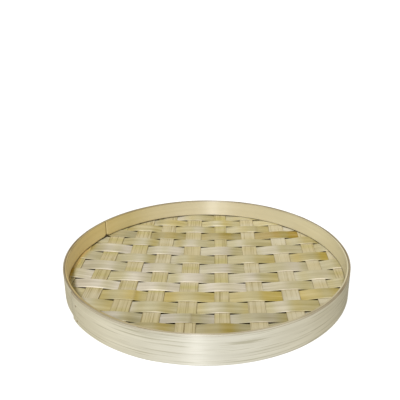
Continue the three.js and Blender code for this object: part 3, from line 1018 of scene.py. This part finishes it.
def outer_hoop_stations(rim):
    """The outer hoop starts at the end that shows, goes once round and ends tucked under its own start."""
    turn = 2 * math.pi * SEAT_RADIUS

    def tucked(past):
        return rim.tucked_root + (rim.tucked_tip - rim.tucked_root) * past / rim.lap_length

    def inside(s):
        if s < rim.lap_length:
            return SEAT_RADIUS + tucked(s) + rim.fit
        settled = min((s - rim.lap_length) / rim.lap_fade, 1)
        return SEAT_RADIUS + (rim.tucked_tip + rim.fit) * (1 - settled * settled * (3 - 2 * settled))

    def thickness(s):
        if s > turn:
            return tucked(s - turn)
        if s > turn - rim.tucked_taper:
            return rim.tucked_root + (rim.outer_band - rim.tucked_root) * (turn - s) / rim.tucked_taper
        return rim.shown_tip + (rim.outer_band - rim.shown_tip) * min(s / rim.shown_taper, 1)

    lapped = [0, rim.shown_taper, rim.lap_length, rim.lap_length + rim.lap_fade]
    hidden = [turn - rim.tucked_taper, turn, turn + rim.lap_length - rim.fit]
    return [
        Station(s, rim.lap_at + s / SEAT_RADIUS, inside(s), inside(s) + thickness(s), 0, RIM_HEIGHT)
        for s in stepped([*lapped, *hidden], BAND_STEP)
    ]


def inner_hoop_stations(rim, seam_at, bottom, top, lift=0, nick=0):
    """An inner hoop from one side of its seam to the other. Its first end may rise, its corners break."""
    turn = 2 * math.pi * SEAT_RADIUS
    start, end = rim.seam_gap / 2, turn - rim.seam_gap / 2
    stops = [start, start + 2 * nick, end - 2 * nick, end] if nick else [start, end]
    stations = []
    for s in stepped(stops, BAND_STEP):
        risen = lift * max(0, 1 - s / rim.seam_lift_length) ** 2
        broken = max(0, nick - min(s - start, end - s) / 2)
        foot = bottom + risen + broken
        stations.append(Station(
            s, seam_at + s / SEAT_RADIUS, WALL_INNER_RADIUS, WALL_OUTER_RADIUS, foot, top))
    return stations


def make_band(band, stations, rim, finish):
    mesh = band_mesh(band, stations, rim)
    mesh.materials.append(finish)
    settle(link(bpy.data.objects.new(band.name, mesh)), band.slot, band.node)


# The brads

POINT_RADIUS = 0.04 * MM
NECK = 0.12 * MM  # length of the shank's flare under the head
BEVEL = 0.06 * MM  # height of the bevel under the head's rim
SEAT_SHARE, CROWN_SHARE = 0.94, 0.05  # of the head's radius, at its seat and at its crown
STRAIGHT_SHARE = 0.35  # of the head's height, below its dome
DOME_ANGLES = (0.5, 0.9, 1.25)


def brad_nodes(g, given):
    """Sweeps a ring along a brad's axis and puts the brad in its place."""
    axis = g.out("GeometryNodeMeshToCurve", {"Mesh": given["Axis"]})
    ring = g.out("GeometryNodeCurvePrimitiveCircle", {"Resolution": given["Sides"], "Radius": 1.0})
    brad = g.out("GeometryNodeCurveToMesh", {
        "Curve": axis, "Profile Curve": ring, "Scale": g.stored("thick"), "Fill Caps": True})
    brad = g.out("GeometryNodeTransform", {
        "Geometry": brad, "Translation": g.vector(given["Face"], 0, given["Height"])})
    brad = g.out("GeometryNodeTransform", {
        "Geometry": brad, "Rotation": g.vector(0, 0, given["Turn"])})
    return {"Brad": finished(g, given, brad)}


def brad_tree():
    """Turns a brad from a line along its axis whose points hold the radius there."""
    inputs = {
        "Axis": "Geometry", "Sides": "Int", "Finish": "Material", **numbers("Turn", "Face", "Height")}
    return shared_tree("Wire Brad", "GeometryNodeTree", inputs, {"Brad": "Geometry"}, brad_nodes)


def brad_axis(name, settings, length, fit):
    """Points along a brad from its point to the crown of its head, with the radius at each."""
    shank, head, high = settings.shank / 2, settings.head / 2, settings.head_height
    seat = fit / 6  # the head is driven down to the band
    dome = 1 - STRAIGHT_SHARE
    profile = [
        (-length, POINT_RADIUS),
        (settings.point - length, shank),
        (seat - NECK, shank),
        (seat, head * SEAT_SHARE),
        (seat + BEVEL, head),
        (seat + high * STRAIGHT_SHARE, head),
        *[(seat + high * (STRAIGHT_SHARE + dome * math.sin(a)), head * math.cos(a)) for a in DOME_ANGLES],
        (seat + high, head * CROWN_SHARE),
    ]
    mesh = line_mesh(name, [(along, 0, 0) for along, _ in profile])
    thick = mesh.attributes.new("thick", "FLOAT", "POINT")
    thick.data.foreach_set("value", [radius for _, radius in profile])
    return mesh


# The stage


def make_camera(stage):
    data = bpy.data.cameras.new("camera")
    data.sensor_width = SENSOR_WIDTH
    data.lens = stage.focal_pixels / IMAGE_SIDE * SENSOR_WIDTH
    camera = link(bpy.data.objects.new("camera", data))
    level, rise = math.cos(stage.elevation), math.sin(stage.elevation)
    place = Vector((0, -stage.distance * level, stage.distance * rise + stage.target_height))
    ahead = Vector((
        math.sin(stage.heading) * math.cos(stage.dip),
        math.cos(stage.heading) * math.cos(stage.dip),
        -math.sin(stage.dip)))
    right = Vector((math.cos(stage.heading), -math.sin(stage.heading), 0))
    up = right.cross(ahead)
    leaning_right = math.cos(stage.roll) * right + math.sin(stage.roll) * up
    leaning_up = math.cos(stage.roll) * up - math.sin(stage.roll) * right
    turned = Matrix((leaning_right, leaning_up, -ahead)).transposed()
    camera.matrix_world = Matrix.Translation(place) @ turned.to_4x4()
    bpy.context.scene.camera = camera


def make_light(name, strength, spread, azimuth, elevation):
    """A broad, even light from far away, so that the whole floor is lit alike."""
    data = bpy.data.lights.new(name, "SUN")
    data.energy = strength
    data.angle = spread
    lamp = link(bpy.data.objects.new(name, data))
    towards = Vector((
        math.cos(azimuth) * math.cos(elevation),
        math.sin(azimuth) * math.cos(elevation),
        math.sin(elevation)))
    lamp.location = towards
    lamp.rotation_euler = towards.to_track_quat("Z", "Y").to_euler()


def make_sky(strength):
    """Even light from all round. The camera itself sees white."""
    world = bpy.data.worlds.new("studio")
    world.use_nodes = True
    bpy.context.scene.world = world
    g = Graph(world.node_tree)
    seen = g.out("ShaderNodeLightPath", output="Is Camera Ray")
    g.fill(world.node_tree.nodes["Background"], {
        "Color": (1, 1, 1, 1), "Strength": g.remap(seen, 0, 1, strength, 1)})


def make_floor(stage):
    half = stage.floor_side / 2
    corners = [(-half, -half, 0), (half, -half, 0), (half, half, 0), (-half, half, 0)]
    mesh = bpy.data.meshes.new("floor")
    mesh.from_pydata(corners, [], [(0, 1, 2, 3)])
    mesh.materials.append(floor_finish(stage))
    floor = link(bpy.data.objects.new("floor", mesh))


# Operators


class TRAY_OT_stage(bpy.types.Operator):
    """Sets up the camera, the lamps, the sky and the floor"""

    bl_idname = "tray.stage"
    bl_label = "Stage"

    def execute(self, context):
        stage = context.scene.bamboo_tray.stage
        make_camera(stage)
        for side in ("key", "left", "right"):
            parts = ("strength", "spread", "azimuth", "elevation")
            make_light(f"{side}_light", *[getattr(stage, f"{side}_{part}") for part in parts])
        make_sky(stage.sky)
        make_floor(stage)
        view = context.scene.view_settings
        view.view_transform = "Standard"
        view.look = "None"
        return {"FINISHED"}


class TRAY_OT_outer_hoop(bpy.types.Operator):
    """Bends the outer hoop and laps it over itself"""

    bl_idname = "tray.outer_hoop"
    bl_label = "Outer Hoop"

    def execute(self, context):
        rim = context.scene.bamboo_tray.rim
        make_band(OUTER_HOOP, outer_hoop_stations(rim), rim, hoop_finish(rim))
        return {"FINISHED"}


class TRAY_OT_inner_hoops(bpy.types.Operator):
    """Bends the upper inner hoop, which shows as the wall, and the lower one under the weave"""

    bl_idname = "tray.inner_hoops"
    bl_label = "Inner Hoops"

    def execute(self, context):
        rim = context.scene.bamboo_tray.rim
        finish = wall_finish(rim)
        upper = inner_hoop_stations(
            rim, rim.upper_seam_at, UPPER_WALL_FOOT, RIM_HEIGHT, rim.seam_lift, rim.seam_nick)
        make_band(UPPER_HOOP, upper, rim, finish)
        lower = inner_hoop_stations(rim, rim.lower_seam_at, 0, LOWER_WALL_TOP)
        make_band(LOWER_HOOP, lower, rim, finish)
        return {"FINISHED"}


class TRAY_OT_warps(bpy.types.Operator):
    """Lays the warps, which run flat from the front to the back"""

    bl_idname = "tray.warps"
    bl_label = "Warps"

    def execute(self, context):
        weave = context.scene.bamboo_tray.weave
        warps = measured_warps(weave)
        guides = []
        for warp in warps:
            reach = strip_reach(warp, weave.tip)
            guides.append([(reach * share, 0, 0) for share in (-1, -0.5, 0, 0.5, 1)])
        # A warp is swept along +X and then turned a quarter, which puts its low edge on the right
        turned = [Strip(warp.node, -warp.high, -warp.low, warp.turn + math.pi / 2) for warp in warps]
        values = {
            "Camber": 0.0, "Wander": weave.warp_wander, "Pale Edge": 0.0, "Dark Edge": 1.0, "Drift": 2.0,
            "Drift Length": 22 * MM, "Finish": warp_finish(weave)}
        lay_strips("warp", turned, guides, WARP_TONES, WARP_SCARS, "warp_bamboo", values, weave, SPLIT_WARP)
        return {"FINISHED"}


class TRAY_OT_wefts(bpy.types.Operator):
    """Weaves the wefts over and under the warps, from the back to the front"""

    bl_idname = "tray.wefts"
    bl_label = "Wefts"

    def execute(self, context):
        weave = context.scene.bamboo_tray.weave
        warps = measured_warps(weave)
        wefts = measured_wefts(weave)
        guides = []
        for row, weft in enumerate(wefts):
            stops = weft_stops(warps, weft, row, weave)
            reach = strip_reach(weft, weave.tip)
            inside = [(along, 0, rise) for along, rise in stops if abs(along) < reach - weave.step]
            ends = [(end, 0, rise_at(stops, end)) for end in (-reach, reach)]
            guides.append([ends[0], *inside, ends[1]])
        gap = weave.weft_gap / 2
        trimmed = [weft._replace(low=weft.low + gap, high=weft.high - gap) for weft in wefts]
        values = {
            "Camber": weave.weft_camber, "Wander": weave.weft_wander, "Pale Edge": 0.5, "Dark Edge": 0.0,
            "Drift": 1.6, "Drift Length": 28 * MM, "Finish": weft_finish(weave)}
        lay_strips("weft", trimmed, guides, WEFT_TONES, WEFT_SCARS, "weft_bamboo", values, weave)
        return {"FINISHED"}


class TRAY_OT_brads(bpy.types.Operator):
    """Drives the brads that pin the bands' ends"""

    bl_idname = "tray.brads"
    bl_label = "Brads"

    def execute(self, context):
        settings = context.scene.bamboo_tray.brads
        fit = context.scene.bamboo_tray.rim.fit
        finish = brad_finish(settings)
        for node in sorted(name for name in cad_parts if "_brad" in name):
            low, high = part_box(node)
            middle = (low + high) / 2
            face = max(radii_of(node)) - settings.head_height - fit
            name = node.replace("brad", "pin")
            axis = brad_axis(name, settings, face - WALL_INNER_RADIUS - fit, fit)
            piece = grown(name, axis, brad_tree(), {
                "Sides": settings.sides, "Turn": math.atan2(middle.y, middle.x), "Face": face,
                "Height": middle.z, "Finish": finish})
            settle(piece, "brad_steel", node)
        return {"FINISHED"}


class TRAY_PT_sidebar(bpy.types.Panel):
    """Lists the tray's pieces and their settings"""

    bl_idname = "TRAY_PT_sidebar"
    bl_label = "Bamboo Tray"
    bl_space_type = "VIEW_3D"
    bl_region_type = "UI"
    bl_category = "Bamboo Tray"

    def draw(self, context):
        tray = context.scene.bamboo_tray
        for operator in OPERATORS:
            self.layout.operator(operator.bl_idname)
        for group in (tray.rim, tray.weave, tray.brads, tray.stage):
            box = self.layout.box()
            for name in group.__annotations__:
                box.prop(group, name)


OPERATORS = (
    TRAY_OT_stage, TRAY_OT_outer_hoop, TRAY_OT_inner_hoops, TRAY_OT_warps, TRAY_OT_wefts, TRAY_OT_brads,
)
CLASSES = (
    RimSettings, WeaveSettings, BradSettings, StageSettings, TraySettings, *OPERATORS, TRAY_PT_sidebar,
)


def register():
    for kind in CLASSES:
        bpy.utils.register_class(kind)
    bpy.types.Scene.bamboo_tray = PointerProperty(type=TraySettings)


def unregister():
    del bpy.types.Scene.bamboo_tray
    for kind in reversed(CLASSES):
        bpy.utils.unregister_class(kind)


def main():
    register()
    bpy.ops.tray.stage()
    bpy.ops.tray.outer_hoop()
    bpy.ops.tray.inner_hoops()
    bpy.ops.tray.warps()
    bpy.ops.tray.wefts()
    bpy.ops.tray.brads()


if __name__ == "__main__":
    main()
